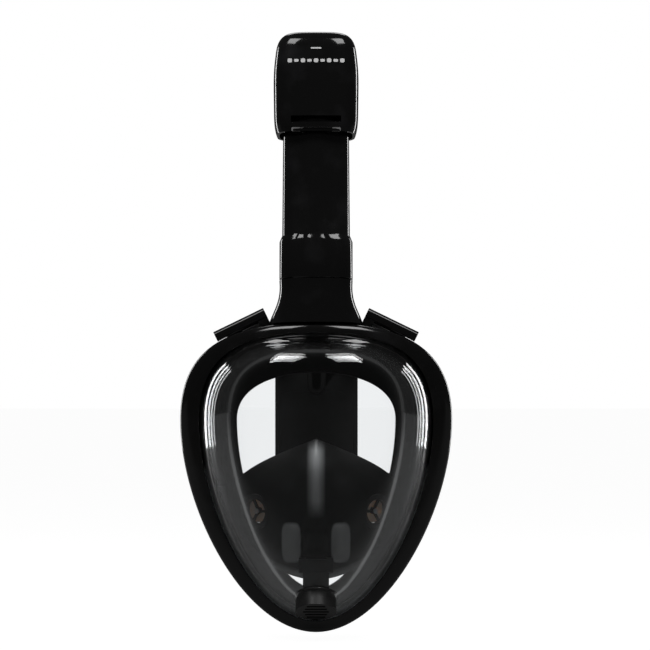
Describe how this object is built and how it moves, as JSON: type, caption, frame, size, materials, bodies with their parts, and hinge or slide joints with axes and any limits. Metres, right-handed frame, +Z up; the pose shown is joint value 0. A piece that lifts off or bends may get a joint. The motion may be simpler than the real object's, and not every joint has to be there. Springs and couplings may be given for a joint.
{
  "type": "full face snorkel mask",
  "caption": "Full face snorkel mask with a clear one-piece lens, soft seal, inner nose and mouth mask, dry-top snorkel tube, flap valves and a strapped head harness.",
  "frame": {"origin": "middle of the face opening at eye height, in the plane the face seals against", "axes": "+X to the wearer's left, -Y ahead of the face towards the lens, +Z up"},
  "size_m": [0.1836, 0.1635, 0.4029],
  "materials": {
    "gloss_black": "polished black ABS",
    "satin_black": "fine satin moulding",
    "clear_lens": "clear polycarbonate",
    "black_silicone": "satin liquid silicone",
    "soft_silicone": "soft translucent silicone",
    "elastic_webbing": "woven elastic",
    "harness_rubber": "matte moulded pad",
    "grey_plastic": "plain moulded",
    "steel": "stainless",
    "pale_print": "pad print"
  },
  "bodies": {
    "mask": {"chin_valve_cover": "satin_black", "chin_valve_seat": "satin_black", "drain_duct": "satin_black", "exhale_duct_left": "satin_black", "exhale_duct_right": "satin_black", "exhale_valve_seat_left": "satin_black", "exhale_valve_seat_right": "satin_black", "face_skirt": "black_silicone", "frame_screws": "steel", "front_frame": "gloss_black", "harness_panel": "harness_rubber", "inhale_valve_seat_left": "satin_black", "inhale_valve_seat_right": "satin_black", "inner_mask": "black_silicone", "lens": "clear_lens", "lower_clip_left": "satin_black", "lower_clip_right": "satin_black", "lower_strap_left": "elastic_webbing", "lower_strap_right": "elastic_webbing", "neck_socket": "gloss_black", "rear_ring": "satin_black", "socket_gasket": "soft_silicone", "upper_anchor_left": "gloss_black", "upper_anchor_right": "gloss_black", "upper_strap_left": "elastic_webbing", "upper_strap_right": "elastic_webbing"},
    "snorkel": {"snorkel_tube": "gloss_black", "dry_top_cap": "gloss_black", "cap_screws": "steel", "float_cage": "grey_plastic", "port_plate": "grey_plastic"},
    "float": {"float_block": "grey_plastic", "float_seal": "soft_silicone"},
    "inhale_flap_left_body": {"inhale_flap_left": "soft_silicone"},
    "inhale_flap_right_body": {"inhale_flap_right": "soft_silicone"},
    "exhale_flap_left_body": {"exhale_flap_left": "soft_silicone"},
    "exhale_flap_right_body": {"exhale_flap_right": "soft_silicone"},
    "chin_flap_body": {"chin_flap": "soft_silicone"},
    "upper_adjuster_left_body": {"upper_adjuster_left": "satin_black"},
    "upper_adjuster_right_body": {"upper_adjuster_right": "satin_black"},
    "lower_adjuster_left_body": {"lower_adjuster_left": "satin_black"},
    "lower_adjuster_right_body": {"lower_adjuster_right": "satin_black"}
  },
  "joints": [
    {"name": "snorkel_lift_off", "type": "slide", "parent": "mask", "child": "snorkel", "axis": [0, 0.1392, 0.9903], "range_m": [0, 0.034]},
    {"name": "float_rise", "type": "slide", "parent": "snorkel", "child": "float", "axis": [0, 0.1392, 0.9903], "range_m": [0, 0.008]},
    {"name": "inhale_flap_left", "type": "slide", "parent": "mask", "child": "inhale_flap_left_body", "axis": [-0.5607, 0.8222, 0.0977], "range_m": [0, 0.0012], "stiffness_N_per_m": 20},
    {"name": "inhale_flap_right", "type": "slide", "parent": "mask", "child": "inhale_flap_right_body", "axis": [0.5607, 0.8222, 0.0977], "range_m": [0, 0.0012], "stiffness_N_per_m": 20},
    {"name": "exhale_flap_left", "type": "slide", "parent": "mask", "child": "exhale_flap_left_body", "axis": [0, 0, 1], "range_m": [0, 0.0012], "stiffness_N_per_m": 20},
    {"name": "exhale_flap_right", "type": "slide", "parent": "mask", "child": "exhale_flap_right_body", "axis": [0, 0, 1], "range_m": [0, 0.0012], "stiffness_N_per_m": 20},
    {"name": "chin_flap", "type": "slide", "parent": "mask", "child": "chin_flap_body", "axis": [0, -0.4695, -0.8829], "range_m": [0, 0.0012], "stiffness_N_per_m": 20},
    {"name": "upper_adjuster_left", "type": "slide", "parent": "mask", "child": "upper_adjuster_left_body", "axis": [-0.3008, 0.934, -0.1931], "range_m": [-0.014, 0.014]},
    {"name": "lower_adjuster_left", "type": "slide", "parent": "mask", "child": "lower_adjuster_left_body", "axis": [-0.5706, 0.8127, 0.1179], "range_m": [-0.014, 0.014]},
    {"name": "upper_adjuster_right", "type": "slide", "parent": "mask", "child": "upper_adjuster_right_body", "axis": [0.3008, 0.934, -0.1931], "range_m": [-0.014, 0.014]},
    {"name": "lower_adjuster_right", "type": "slide", "parent": "mask", "child": "lower_adjuster_right_body", "axis": [0.5706, 0.8127, 0.1179], "range_m": [-0.014, 0.014]}
  ]
}
